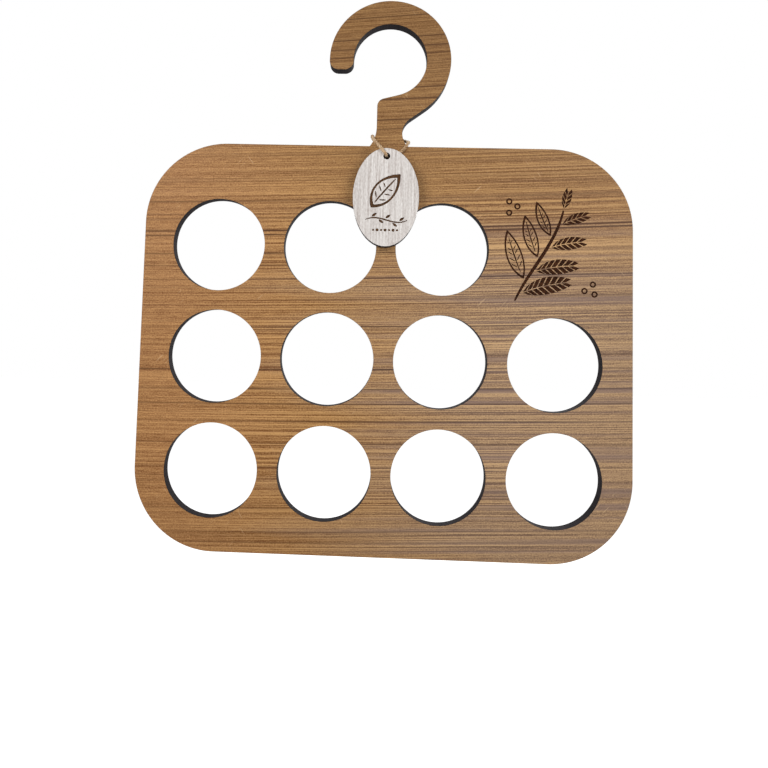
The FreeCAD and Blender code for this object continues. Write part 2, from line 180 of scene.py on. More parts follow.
# Outlined leaves: sizes in widths of their lines, and places of rib and veins in steps along the leaf
INNER_FOOT = 2.0
INNER_TIP = 2.4
INNER_SIDE = 1.25
RIB_WIDTH = 0.8
RIB_ENDS = 4
VEIN_WIDTH = 0.55
VEIN_GAP = 1.2
SHORTEST_VEIN = 0.8
FIRST_VEIN = 6
VEIN_SPAN = 11
VEIN_LEAN = 3

# Slant of the wood's grain: its rise to the right, how that fans out with height and bows along the board
GRAIN_RISE = 0.052
GRAIN_FAN = 0.115
GRAIN_BOW = 0.045
HOOK_RISE = 0.03
FOOT_RISE = 0.018
GRAIN_WAVER = 1.4 * MM

# Places where the wood or its painted shade changes, in metres: heights on the board, or distances to the
# right of its middle
HOOK_HEIGHTS = (-0.05, 0.02)
FOOT_HEIGHTS = (-0.24, -0.29)
NECK_HEIGHTS = (-0.05, -0.01)
LOW_RIGHT_HEIGHTS = (-0.20, -0.26)
CALM_HEIGHT = -0.072
CALM_REACH = (0.012, 0.05)
CALM_END = (-0.01, 0.05)
MIDDLE_REACH = (0.03, 0.13)
LEFT_SIDE = (-0.06, -0.13)
RIGHT_SIDE = (0.03, 0.12)
GREY_SIDE = (0.035, 0.16)
GREY_HEIGHTS = (-0.085, -0.15)
GREY_RAGGED = 0.2
WARM_SIDE = (-0.02, -0.13)
# Where the painted shade towards the hook, the foot and the right side begins and ends
HOOK_SHADE = (-0.09, 0.0)
HOOK_SHADE_SLANT = 0.15
FOOT_SHADE = (-0.24, -0.30)
SIDE_SHADE = (0.10, 0.15)
RING_LEFT = (-0.08, -0.03)
RING_RIGHT = (0.02, 0.07)

# Rings in the wood: heights in millimetres, and how dark they are at the left, middle and right
RING_SETS = (
    ((28, 14, 8, 3, -18, -25, -38, -44, -106.5, -205, -214), (1.0, 1.0, 1.0)),
    ((-137, -167, -224.5), (0.5, 1.0, 1.0)),
    ((-59, -75, -88, -98.5, -121, -142, -252, -276, -290, -296), (0.5, 0.5, 0.5)),
    ((-150, -238), (0.2, 0.5, 0.5)),
    ((-193,), (1.2, 1.5, 0.5)),
    ((-106.4, -108.4), (0.0, 0.0, 1.7)),
    ((-87.6, -106.2, -109.0, -120.6, -204.6), (1.2, 0.0, 0.0)),
    ((-128.0,), (0.6, 0.0, 0.0)),
)
RING_CORE = 0.20 * MM
RING_EDGE = 0.65 * MM
FINE_RING_WIDTH = 2.7 * MM
FINE_RING_SWAY = 2.6
FINE_RING_START = 0.72

# Layers of wood grain: waves a metre along X, Y and Z, detail, and weight
GRAIN_LINES = (
    ((1.2, 1, 70), 2.0, 0.36),
    ((1.6, 1, 230), 1.0, 0.26),
    ((2.6, 1, 560), 1.0, 0.50),
    ((4, 1, 1100), 0.0, 0.90),
    ((5, 1, 2000), 0.0, 1.20),
)
GRAIN_SPECKS = (
    ((120, 1, 1600), 1.0, 0.90),
    ((1000, 1, 1500), 1.0, 1.35),
)
TAG_LIGHT = 0.53
TAG_STREAKS = (
    ((90, 1, 5), 2.0, 0.4),
    ((600, 1, 16), 1.0, 0.75),
    ((1000, 1, 45), 1.0, 1.0),
    ((1400, 1, 500), 1.0, 0.9),
)

# Scratches on the veneer: their slant, and how far their noise is shifted
SCRATCH_SLANTS = ((1.0, 2.0), (-1.4, 6.0))

# Colours in pairs, dark and pale, and of rings and of the painted shade on the wood, where it is brown and
# where it is grey
WOOD = (srgb(112, 71, 32), srgb(193, 148, 93))
WARM_WOOD = (srgb(114, 69, 33), srgb(193, 144, 92))
GREY_WOOD = (srgb(114, 88, 71), srgb(197, 161, 119))
RING_WOOD = (srgb(80, 48, 22), srgb(84, 64, 56))
PAINTED_SHADE_WOOD = (srgb(84, 54, 26), srgb(84, 64, 50))
WASHED_WOOD = (srgb(166, 155, 149), srgb(232, 228, 224))
CHARRED_EDGE = (srgb(24, 21, 24), srgb(52, 46, 48))
BURNT_BOARD = (srgb(28, 12, 4), srgb(70, 38, 19))
BURNT_TAG = (srgb(60, 42, 28), srgb(98, 70, 46))
JUTE = (srgb(160, 124, 86), srgb(224, 196, 160))
GREY_BLOOM = srgb(130, 108, 99)
SCRATCH = srgb(222, 188, 146)
TAG_PORE = srgb(146, 122, 112)


class Finish:
    """A procedural material under way: adds nodes to it and links or sets their inputs."""

    def __init__(self, name, roughness, gloss):
        self.material = bpy.data.materials.new(name)
        self.material.use_nodes = True
        self.tree = self.material.node_tree
        self.surface = self.tree.nodes["Principled BSDF"]
        self.surface.inputs["Roughness"].default_value = roughness
        self.surface.inputs["Specular IOR Level"].default_value = gloss
        self.place = self.tree.nodes.new("ShaderNodeTexCoord").outputs["Object"]

    def feed(self, socket, value):
        """Links a node's output to a socket, or sets the socket to a plain value."""
        if isinstance(value, bpy.types.NodeSocket):
            self.tree.links.new(value, socket)
        else:
            socket.default_value = value

    def work(self, operation, *values):
        """One sum on node outputs or numbers."""
        node = self.tree.nodes.new("ShaderNodeMath")
        node.operation = operation
        for socket, value in zip(node.inputs, values):
            self.feed(socket, value)
        return node.outputs[0]

    def product(self, first, *others):
        """Node outputs or numbers, all multiplied."""
        for other in others:
            first = self.work("MULTIPLY", first, other)
        return first

    def largest(self, first, *others):
        """The largest of node outputs or numbers."""
        for other in others:
            first = self.work("MAXIMUM", first, other)
        return first

    def between(self, value, low, high, start=0.0, end=1.0):
        """A value from low to high brought to start to end, and held there."""
        node = self.tree.nodes.new("ShaderNodeMapRange")
        for socket, number in zip(node.inputs, (value, low, high, start, end)):
            self.feed(socket, number)
        return node.outputs[0]

    def split(self, place):
        """The X and the Z of a place."""
        node = self.tree.nodes.new("ShaderNodeSeparateXYZ")
        self.feed(node.inputs[0], place)
        return node.outputs[0], node.outputs[2]

    def joined(self, x, z):
        """A place on a flat face, from its X and its Z."""
        node = self.tree.nodes.new("ShaderNodeCombineXYZ")
        self.feed(node.inputs[0], x)
        self.feed(node.inputs[2], z)
        return node.outputs[0]

    def noise(self, waves, detail=2.0, rough=0.5, shift=(0.0, 0.0, 0.0), place=None):
        """Noise with its own number of waves a metre along each axis."""
        mapping = self.tree.nodes.new("ShaderNodeMapping")
        self.feed(mapping.inputs["Vector"], place or self.place)
        mapping.inputs["Scale"].default_value = waves
        mapping.inputs["Location"].default_value = shift
        node = self.tree.nodes.new("ShaderNodeTexNoise")
        self.feed(node.inputs["Vector"], mapping.outputs[0])
        node.inputs["Scale"].default_value = 1.0
        node.inputs["Detail"].default_value = detail
        node.inputs["Roughness"].default_value = rough
        return node.outputs[0]

    def layered(self, light, layers, place=None):
        """A lightness with layers of noise added to it."""
        for waves, detail, weight in layers:
            layer = self.work("SUBTRACT", self.noise(waves, detail, place=place), 0.5)
            light = self.work("MULTIPLY_ADD", layer, weight, light)
        return light

    def tint(self, share, under, over):
        """One colour laid over another by a share from 0 to 1."""
        node = self.tree.nodes.new("ShaderNodeMix")
        node.data_type = "RGBA"
        for index, value in ((0, share), (6, under), (7, over)):
            self.feed(node.inputs[index], value)
        return node.outputs[2]

    def relief(self, height, depth, strength):
        """Bump of that depth in metres."""
        node = self.tree.nodes.new("ShaderNodeBump")
        node.inputs["Strength"].default_value = strength
        node.inputs["Distance"].default_value = depth
        self.feed(node.inputs["Height"], height)
        self.feed(self.surface.inputs["Normal"], node.outputs[0])

    def colour(self, value):
        """Ends the colour side and gives the material."""
        self.feed(self.surface.inputs["Base Color"], value)
        return self.material


class Veneer(Finish):
    """Brown wood with its grain along X: streaks, dark rings and fine specks, greyer to the lower right,
    with painted shade towards the hook, the foot and the right side.
    """

    def __init__(self):
        super().__init__("veneer", roughness=0.5, gloss=0.18)
        self.along, self.height = self.split(self.place)
        self.level = self.grain_level()
        self.grain = self.joined(self.along, self.level)
        self.lined = self.contrast()
        self.grey = self.greyness()

    def grain_level(self):
        """The height at which the grain through a point crosses the middle of the board."""
        rise = self.work("MULTIPLY_ADD", self.height, GRAIN_FAN, GRAIN_RISE)
        rise = self.work("MULTIPLY_ADD", self.along, GRAIN_BOW, rise)
        rise = self.work("ADD", rise, self.between(self.height, *HOOK_HEIGHTS, end=HOOK_RISE))
        rise = self.work("ADD", rise, self.between(self.height, *FOOT_HEIGHTS, end=FOOT_RISE))
        level = self.work("SUBTRACT", self.height, self.product(self.along, rise))
        waver = self.work("SUBTRACT", self.noise((6, 1, 14), detail=1.0), 0.5)
        return self.work("MULTIPLY_ADD", waver, GRAIN_WAVER, level)

    def contrast(self):
        """How strongly the grain shows: most in the middle, less on the hook and in a calm upper band."""
        from_band = self.work("ABSOLUTE", self.work("SUBTRACT", self.height, CALM_HEIGHT))
        past_band = self.between(from_band, *CALM_REACH, start=0.55)
        calm = self.largest(past_band, self.between(self.along, *CALM_END))
        low_right = self.between(self.height, *LOW_RIGHT_HEIGHTS, start=1.35, end=0.68)
        return self.product(
            self.between(self.work("ABSOLUTE", self.along), *MIDDLE_REACH, start=2.0, end=0.85),
            calm,
            self.between(self.height, *NECK_HEIGHTS, start=0.95, end=0.58),
            self.between(self.along, *LEFT_SIDE, start=1.0, end=0.75),
            self.between(self.along, *RIGHT_SIDE, start=1.0, end=low_right),
        )

    def greyness(self):
        """How grey the wood is: more to the right, in streaks, and below the upper band."""
        streaks = self.noise((3, 1, 60), place=self.grain)
        patchy = self.work("MULTIPLY_ADD", streaks, GREY_RAGGED, self.along)
        below = self.between(self.height, *GREY_HEIGHTS, start=0.10)
        return self.product(self.between(patchy, *GREY_SIDE), below)

    def plain_wood(self):
        """Dark and pale streaks with fine specks, warmer to the left, with a bloom on the grey wood."""
        lines = self.layered(0.0, GRAIN_LINES, self.grain)
        light = self.work("MULTIPLY_ADD", lines, self.lined, 0.5)
        light = self.between(self.layered(light, GRAIN_SPECKS, self.grain), 0.0, 1.0)
        warm = self.between(self.along, *WARM_SIDE)
        dark, pale = (
            self.tint(self.grey, self.tint(warm, brown, warmer), greyer)
            for brown, warmer, greyer in zip(WOOD, WARM_WOOD, GREY_WOOD)
        )
        cloud = self.noise((1.6, 1, 210), detail=1.0, shift=(3.0, 0, 9.0), place=self.grain)
        bloom = self.product(self.between(cloud, 0.48, 0.62, end=0.65), self.grey)
        return self.tint(bloom, self.tint(light, dark, pale), GREY_BLOOM)

    def fine_rings(self):
        """Close rings: each darkens to its end, where the next begins pale."""
        waves = (0.8, 1, 0.35 / FINE_RING_WIDTH)
        sway = self.noise(waves, detail=1.0, shift=(1.0, 0, 1.0), place=self.grain)
        count = self.work("DIVIDE", self.level, FINE_RING_WIDTH)
        ring = self.work("MULTIPLY_ADD", sway, FINE_RING_SWAY, count)
        return self.between(self.work("FRACT", ring), FINE_RING_START, 1.0)

    def dark_rings(self):
        """The single rings, each as dark along the board as its set says."""
        rings = 0.0
        for heights, (left, middle, right) in RING_SETS:
            to_left = self.between(self.along, *RING_LEFT, start=left - middle, end=0.0)
            to_right = self.between(self.along, *RING_RIGHT, start=middle, end=right)
            depth = self.work("ADD", to_left, to_right)
            for height in heights:
                off_ring = self.work("ABSOLUTE", self.work("SUBTRACT", self.level, height * MM))
                ring = self.between(off_ring, RING_CORE, RING_EDGE, start=depth, end=0.0)
                rings = self.largest(rings, ring)
        return rings

    def with_rings(self, wood):
        """Wood with both kinds of ring on it, broken along their length."""
        ring_wood = self.tint(self.grey, *RING_WOOD)
        broken = self.noise((4, 1, 300), shift=(7.0, 0, 3.0), place=self.grain)
        fine = self.product(self.fine_rings(), self.between(broken, 0.38, 0.66, end=0.55))
        lined = self.between(self.lined, 0.8, 1.2, start=0.6)
        dark = self.product(self.dark_rings(), self.between(broken, 0.30, 0.55, start=0.5), lined)
        return self.tint(dark, self.tint(fine, wood, ring_wood), ring_wood)

    def with_painted_shade(self, wood):
        """Wood darkened by painted shade towards the hook, the foot and the right side, where less light
        falls.
        """
        to_hook = self.work("MULTIPLY_ADD", self.along, HOOK_SHADE_SLANT, self.height)
        shade = self.largest(
            self.between(to_hook, *HOOK_SHADE, end=0.45),
            self.between(self.height, *FOOT_SHADE, end=0.16),
            self.between(self.along, *SIDE_SHADE, end=0.10),
        )
        return self.tint(shade, wood, self.tint(self.grey, *PAINTED_SHADE_WOOD))

    def with_scratches(self, wood):
        """Wood with short pale scratches in patches, at two slants."""
        for slant, seed in SCRATCH_SLANTS:
            down = self.work("MULTIPLY_ADD", self.height, slant, self.along)
            across = self.work("MULTIPLY_ADD", self.along, -slant, self.height)
            slanted = self.joined(down, across)
            strokes = self.noise((60, 1, 700), detail=0.0, shift=(seed, 0, seed), place=slanted)
            patches = self.noise((28, 1, 28), detail=1.0, shift=(seed, 0, 0))
            patchy = self.between(patches, 0.58, 0.68, end=0.35)
            wood = self.tint(self.product(self.between(strokes, 0.74, 0.80), patchy), wood, SCRATCH)
        return wood


def veneer_finish():
    """Veneer of the board, with fine streaks in its gloss and relief too."""
    finish = Veneer()
    wood = finish.with_rings(finish.plain_wood())
    wood = finish.with_scratches(finish.with_painted_shade(wood))
    streaks = finish.noise((2.4, 1, 560), place=finish.grain)
    finish.feed(finish.surface.inputs["Roughness"], finish.between(streaks, 0.3, 0.7, start=0.58, end=0.46))
    finish.relief(streaks, depth=0.05 * MM, strength=0.5)
    return finish.colour(wood)


def charred_finish():
    """Edge of laser-cut board: near black, with fine lines through the thickness."""
    finish = Finish("charred_edge", roughness=0.85, gloss=0.1)
    cut_lines = finish.noise((1500, 25, 1500))
    soot = finish.noise((160, 160, 160), detail=3.0)
    share = finish.product(finish.between(cut_lines, 0.35, 0.7), finish.between(soot, 0.3, 0.7, start=0.4))
    finish.relief(cut_lines, depth=0.06 * MM, strength=0.6)
    return finish.colour(finish.tint(share, *CHARRED_EDGE))


def tag_face_finish():
    """Pale, washed wood with upright streaks of white and pinkish grey, and short brown pores."""
    finish = Finish("washed_tag_wood", roughness=0.6, gloss=0.2)
    light = finish.layered(TAG_LIGHT, TAG_STREAKS)
    wood = finish.tint(finish.between(light, 0.0, 1.0), *WASHED_WOOD)
    pores = finish.noise((1000, 1, 110), shift=(5.0, 0, 0))
    wood = finish.tint(finish.between(pores, 0.62, 0.74, end=0.45), wood, TAG_PORE)
    finish.relief(finish.noise((420, 1, 14)), depth=0.04 * MM, strength=0.5)
    return finish.colour(wood)


def burnt_finish(name, colours):
    """Floor of an engraved line: scorched wood, mottled from dark to pale brown."""
    finish = Finish(name, roughness=0.85, gloss=0.1)
    scorch = finish.noise((700, 700, 1100), detail=3.0, rough=0.6)
    finish.relief(scorch, depth=0.08 * MM, strength=0.7)
    return finish.colour(finish.tint(finish.between(scorch, 0.35, 0.66), *colours))


def jute_finish():
    """Beige jute: pale and brown fibres along the plies."""
    finish = Finish("jute", roughness=0.85, gloss=0.15)
    fibres = finish.noise((1500, 1500, 1500), detail=3.0, rough=0.7)
    blotches = finish.noise((260, 260, 260))
    share = finish.work("MULTIPLY_ADD", fibres, 0.6, finish.product(blotches, 0.4))
    finish.relief(fibres, depth=0.15 * MM, strength=0.8)
    finish.surface.inputs["Sheen Weight"].default_value = 0.25
    return finish.colour(finish.tint(finish.between(share, 0.38, 0.62), *JUTE))


def closed_lines(node):
    """The closed lines round the front of a CAD layer, its outline and its holes, as (x, z) points."""
    sheet = bmesh.new()
    sheet.from_mesh(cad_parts[node].data)
    bmesh.ops.remove_doubles(sheet, verts=sheet.verts, dist=SEAM)
    front = {face for face in sheet.faces if face.normal.y < -FLAT_FACE}
    # A dict keeps the edges in the mesh's order, so every run starts its lines at the same points
    rim = dict.fromkeys(edge for edge in sheet.edges if len(front.intersection(edge.link_faces)) == 1)
    lines = []
    while rim:
        edge = rim.popitem()[0]
        here = edge.verts[1]
        line = [edge.verts[0], here]
        while edge := next((near for near in here.link_edges if near in rim), None):
            del rim[edge]
            here = edge.other_vert(here)
            line.append(here)
        lines.append([Vector((vertex.co.x, vertex.co.z)) for vertex in line[:-1]])
    sheet.free()
    return lines


def smooth_corner(point, before, here, after):
    """Sets a point of a flat outline: the line runs smoothly through it, unless it turns sharply there."""
    arrive, leave = here - before, after - here
    reach_in, reach_out = (min(side.length / 3, SMOOTH_REACH) for side in (arrive, leave))
    if arrive.angle(leave, 0.0) < SHARP_TURN:
        arrive = leave = after - before
    point.co = here.to_3d()
    point.handle_left = (here - arrive.normalized() * reach_in).to_3d()
    point.handle_right = (here + leave.normalized() * reach_out).to_3d()


def curve_piece(name, curve, place=None):
    """A mesh piece from a curve: seams closed, faces outwards, its place in its mesh."""
    holder = bpy.data.objects.new(name, curve)
    mesh = bpy.data.meshes.new_from_object(holder)
    bpy.data.objects.remove(holder)
    bpy.data.curves.remove(curve)
    mesh.name = name
    if place:
        mesh.transform(place)
    shape = bmesh.new()
    shape.from_mesh(mesh)
    bmesh.ops.remove_doubles(shape, verts=shape.verts, dist=SEAM)
    bmesh.ops.recalc_face_normals(shape, faces=shape.faces)
    shape.to_mesh(mesh)
    shape.free()
    piece = bpy.data.objects.new(name, mesh)
    bpy.context.scene.collection.objects.link(piece)
    return piece


def flat_plate(name, outlines, back, front, rim=0.0):
    """A plate in the XZ plane with those outlines, nested ones being holes, its rims rounded by rim."""
    low, high = sorted((back, front))
    curve = bpy.data.curves.new(name, "CURVE")
    curve.dimensions = "2D"
    curve.fill_mode = "BOTH"
    curve.extrude = (high - low) / 2 - rim
    curve.bevel_depth = rim
    curve.bevel_resolution = 1
    curve.offset = -rim
    curve.resolution_u = 4
    for outline in outlines:
        spline = curve.splines.new("BEZIER")
        spline.bezier_points.add(len(outline) - 1)
        ahead = outline[1:] + outline[:1]
        for point, before, here, after in zip(spline.bezier_points, outline[-1:] + outline, outline, ahead):
            smooth_corner(point, before, here, after)
        spline.use_cyclic_u = True
    upright = Matrix.Translation((0.0, (low + high) / 2, 0.0)) @ Matrix.Rotation(math.pi / 2, 4, "X")
    return curve_piece(name, curve, upright)


def dress(piece, body, slot, *finishes):
    """Gives a piece its finishes and rides it on a body; slot is not used."""
    piece.data.materials.clear()
    for finish in finishes:
        piece.data.materials.append(finish)
    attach(piece, body)


def dress_core(node, finish):
    """Gives a CAD node its finish."""
    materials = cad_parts[node].data.materials
    materials.clear()
    materials.append(finish)


def faced_sheet(name, node, drawing, rim, body, slot, finishes):
    """A thin face that stands for a CAD layer, with a drawing cut through it, finished on face and edge."""
    low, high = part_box(node)
    sheet = flat_plate(name, closed_lines(node) + drawing, low[1], high[1], rim)
    dress(sheet, body, slot, *finishes)
    for face in sheet.data.polygons:
        face.material_index = 0 if abs(face.normal.y) > FLAT_FACE else 1
    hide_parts(node)


def bow(start, lean_out, lean_in, end, steps):
    """Points along a curved line that leaves start towards lean_out and reaches end from lean_in."""
    return [Vector(point) for point in interpolate_bezier(start, lean_out, lean_in, end, steps)]


def brush(line, width, tip=0.35):
    """Outline of a drawn stroke, full in its middle and slim at its ends."""
    last = len(line) - 1
    left, right = [], []
    for index, here in enumerate(line):
        heading = line[min(index + 1, last)] - line[max(index - 1, 0)]
        across = heading.orthogonal().normalized()
        fullness = tip + (1 - tip) * math.sin(math.pi * index / last) ** BRUSH_TAPER
        left.append(here + across * width / 2 * fullness)
        right.append(here - across * width / 2 * fullness)
    return left + right[::-1]


def dot(middle, radius, corners=16):
    """Outline of a round dot."""
    turns = [2 * math.pi * corner / corners for corner in range(corners)]
    return [middle + Vector((math.cos(turn), math.sin(turn))) * radius for turn in turns]


def leaf_line(base, tip, swell, steps=LEAF_STEPS):
    """A line from base to tip of a leaf that swells sideways, to the left where positive."""
    along = tip - base
    across = along.orthogonal().normalized() * swell
    leans = [base + along * way + across * share for way, share in LEAF_SWELLS]
    return bow(base, *leans, tip, steps)


def leaf_outline(base, tip, belly, lift=0.0):
    """Both margins of a leaf as one closed line; lift bows the whole leaf."""
    return leaf_line(base, tip, lift + belly) + leaf_line(base, tip, lift - belly)[-2:0:-1]


def lined_leaf(base, tip, belly, lift, width, veins):
    """A leaf drawn as an outline with a midrib and pairs of veins, in lines of that width."""
    way = (tip - base).normalized()
    inner_base, inner_tip = base + way * width * INNER_FOOT, tip - way * width * INNER_TIP
    inner_belly = belly - width * INNER_SIDE
    rib = leaf_line(base, tip, lift)
    shapes = [leaf_outline(base, tip, belly, lift), leaf_outline(inner_base, inner_tip, inner_belly, lift)]
    shapes.append(brush(rib[RIB_ENDS:-RIB_ENDS], width * RIB_WIDTH))
    for side in (-1, 1):
        margin = leaf_line(inner_base, inner_tip, lift + side * inner_belly)
        for vein in range(veins):
            step = FIRST_VEIN + round(VEIN_SPAN * vein / (veins - 1))
            foot, end = rib[step], margin[step + VEIN_LEAN]
            reach = (end - foot).normalized()
            start, stop = foot + reach * width * VEIN_GAP, end - reach * width
            if (stop - start).dot(reach) > width * SHORTEST_VEIN:
                line = [start.lerp(stop, share / 5) for share in range(6)]
                shapes.append(brush(line, width * VEIN_WIDTH))
    return shapes


def barbed_leaf(base, tip, belly, lift):
    """A dark leaf made of slanting barbs on both sides of a bare midrib."""
    barbs = round((tip - base).length / BARB_PITCH)
    steps = BARB_STEPS * barbs + BARE_TIP_STEPS
    rib = leaf_line(base, tip, lift, steps)
    shapes = []
    for side in (-1, 1):
        margin = leaf_line(base, tip, lift + side * belly, steps)
        for first in range(1, BARB_STEPS * barbs, BARB_STEPS):
            last = first + BARB_STEPS
            feet = zip(rib[first:last], margin[first:last])
            foot = [inner + (outer - inner).normalized() * BARB_GAP / 2 for inner, outer in feet]
            shapes.append(foot + margin[last:last + BARB_STEPS][::-1])
    return shapes


def sprig_drawing():
    """A leafy sprig: a stem, dark and outlined leaves in turn, and berries."""
    def spot(x, z):
        return SPRIG_MIDDLE + Vector((x, z)) * MM

    stem = bow(*(spot(*point) for point in SPRIG_STEM), steps=41)
    shapes = [brush(stem, width=2.0 * MM, tip=0.4)]
    for number, share in enumerate(SPRIG_LEAVES):
        place = round(share * (len(stem) - 1))
        side = 1 if number % 2 else -1
        heading = (stem[place + 1] - stem[place - 1]).normalized()
        out = Matrix.Rotation(side * SPRIG_LEAN, 2) @ heading
        length = (LOWEST_LEAF - LEAF_SHRINK * share) * MM
        base = stem[place] + out * SPRIG_STALK
        tip = base + out * length
        belly = length * LEAF_BELLY
        if side < 0:
            shapes += barbed_leaf(base, tip, belly, lift=length * 0.05)
        else:
            shapes += lined_leaf(base, tip, belly, lift=length * 0.03, width=0.9 * MM, veins=5)
    crown = stem[-1] + (stem[-1] - stem[-2]).normalized() * MM
    shapes += barbed_leaf(crown, crown + CROWN_LEAF, belly=3.6 * MM, lift=0.0)
    for berry in BERRIES:
        shapes.append(dot(spot(*berry), radius=1.9 * MM))
        shapes.append(dot(spot(*berry), radius=1.0 * MM))
    return shapes


def tag_drawing():
    """A leaf outline over a slim garland and a row of dots."""
    low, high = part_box("tag_front_face")
    middle = Vector((low[0] + high[0], low[2] + high[2])) / 2

    def spot(x, z):
        return middle + Vector((x, z)) * MM

    base, tip = (spot(*point) for point in TAG_LEAF)
    shapes = lined_leaf(base, tip, belly=8.6 * MM, lift=0.6 * MM, width=1.2 * MM, veins=4)
    vine = bow(*(spot(*point) for point in VINE), steps=31)
    shapes.append(brush(vine, width=0.8 * MM, tip=0.4))
    for place, lean in VINE_LEAVES:
        base = vine[place] + Vector((0.5, lean)) * MM
        tip = base + Vector((2.8, lean * 2.0)) * MM
        shapes.append(leaf_outline(base, tip, belly=0.9 * MM))
    for number in range(DOTS):
        middle_of_dot = spot((number - DOTS // 2) * DOT_PITCH, DOT_ROW)
        shapes.append(dot(middle_of_dot, DOT_RADII[number % 2], corners=12))
    return shapes


def twine_line(route):
    """Points along the smooth NURBS line that has the route's points as its control points."""
    curve = bpy.data.curves.new("twine_line", "CURVE")
    curve.dimensions = "3D"
    spline = curve.splines.new("NURBS")
    spline.points.add(len(route) - 1)
    for point, place in zip(spline.points, route):
        point.co = (*place, 1.0)
    spline.order_u = 3
    spline.use_endpoint_u = True
    spline.resolution_u = LINE_STEPS
    curve.resolution_u = LINE_STEPS
    holder = bpy.data.objects.new("twine_line", curve)
    mesh = bpy.data.meshes.new_from_object(holder)
    line = [vertex.co.copy() for vertex in mesh.vertices]
    bpy.data.meshes.remove(mesh)
    bpy.data.objects.remove(holder)
    bpy.data.curves.remove(curve)
    return line


def ply_lines(line):
    """The lines of the plies, twisted round the twine's own line."""
    plies = [[] for _ in range(PLIES)]
    heading = (line[1] - line[0]).normalized()
    side = heading.orthogonal().normalized()
    walked = 0.0
    last = len(line) - 1
    for index, here in enumerate(line):
        before, after = line[max(index - 1, 0)], line[min(index + 1, last)]
        turned = (after - before).normalized()
        side.rotate(heading.rotation_difference(turned))
        heading = turned
        walked += (here - before).length
        for number, ply in enumerate(plies):
            twist = 2 * math.pi * (walked / PLY_LAY + number / PLIES)
            ply.append(here + Matrix.Rotation(twist, 3, heading) @ side * PLY_OFFSET)
    return plies


def strand_piece(name, lines, radius, roundness, slim_end=1.0):
    """Round strands along lines, in one mesh; slim_end is how much of the radius is left at the end."""
    curve = bpy.data.curves.new(name, "CURVE")
    curve.dimensions = "3D"
    curve.bevel_depth = radius
    curve.bevel_resolution = roundness
    curve.use_fill_caps = True
    for line in lines:
        spline = curve.splines.new("POLY")
        spline.points.add(len(line) - 1)
        for index, (point, place) in enumerate(zip(spline.points, line)):
            point.co = (*place, 1.0)
            point.radius = 1.0 + (slim_end - 1.0) * index / (len(line) - 1)
    piece = curve_piece(name, curve)
    piece.data.shade_smooth()
    return piece


def any_side(heading, draw):
    """A way square to the heading, to a side drawn by lot."""
    return Matrix.Rotation(draw.uniform(0, 2 * math.pi), 3, heading) @ heading.orthogonal().normalized()


def fuzz_lines(line, count, length, draw):
    """Loose fibres that stand off a twine's line."""
    fibres = []
    for _ in range(count):
        index = draw.randrange(2, len(line) - 2)
        heading = (line[index + 1] - line[index - 1]).normalized()
        out = any_side(heading, draw)
        lean = heading * draw.choice((-1, 1)) * draw.uniform(*FIBRE_LEANS)
        root = line[index] + out * FIBRE_ROOT * TWINE_THICKNESS / 2
        reach = length * draw.uniform(*FIBRE_REACHES)
        bent = out * reach * FIBRE_LIFT
        fibres.append([root + lean * reach * share + bent * share ** FIBRE_CURL for share in FIBRE_STEPS])
    return fibres


def frayed_lines(line, count, length, draw):
    """The open fibres at a cut end of twine."""
    end = line[-1]
    heading = (line[-1] - line[-2]).normalized()
    fibres = []
    for _ in range(count):
        out = any_side(heading, draw)
        root = end - heading * FRAY_DEPTH + out * draw.uniform(0.0, FRAY_SPREAD)
        reach = length * draw.uniform(*FRAY_REACHES)
        bent = out * reach * draw.uniform(*FRAY_BENDS)
        fibres.append([root + heading * reach * share + bent * share ** FRAY_CURL for share in FIBRE_STEPS])
    return fibres


def press_behind(fibres, depth):
    """Presses the fibres that grow behind the tag flat, so that none reaches in front of that depth."""
    for fibre in fibres:
        if fibre[0].y > depth:
            for point in fibre:
                point.y = max(point.y, depth)


def knot_route():
    """The coil of the knot, whose control points stand a little outside it."""
    radius = KNOT_COIL_RADIUS * KNOT_OUTSET
    route = []
    for step in range(KNOT_STEPS + 1):
        share = step / KNOT_STEPS
        turn = 2 * math.pi * KNOT_TURNS * share
        along = KNOT_HALF_LENGTH * (share * 2 - 1)
        route.append(KNOT_MIDDLE + Vector((along, radius * math.sin(turn), radius * math.cos(turn))))
    return route


def tie_twine(jute):
    """The loop, its knot with two tails, and their fuzz."""
    draw = random.Random(FUZZ_SEED)
    loop_line = twine_line(LOOP_ROUTE)
    loop = strand_piece("jute_loop", ply_lines(loop_line), PLY_RADIUS, PLY_ROUNDNESS)
    fibres = fuzz_lines(loop_line, *LOOP_FUZZ, draw)
    press_behind(fibres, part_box("tag_back_face")[1][1] + FLAT_FIBRE_GAP)
    fuzz = strand_piece("jute_loop_fuzz", fibres, FIBRE_RADIUS, 0, FIBRE_TIP)
    for piece in (loop, fuzz):
        piece.data.materials.append(jute)
        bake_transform(piece)

    coil, left, right = (twine_line(route) for route in (knot_route(), LEFT_TAIL, RIGHT_TAIL))
    plies = ply_lines(coil) + ply_lines(left) + ply_lines(right)
    knot = strand_piece("jute_knot", plies, PLY_RADIUS, PLY_ROUNDNESS)
    fibres = fuzz_lines(coil, *COIL_FUZZ, draw)
    for tail in (left, right):
        fibres += fuzz_lines(tail, *TAIL_FUZZ, draw) + frayed_lines(tail, *TAIL_FRAY, draw)
    knot_fuzz = strand_piece("jute_knot_fuzz", fibres, FIBRE_RADIUS, 0, FIBRE_TIP)
    dress(knot, "hanger", "twine", jute)
    dress(knot_fuzz, "hanger", "twine", jute)

    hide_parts("twine_loop")
    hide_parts("twine_knot")


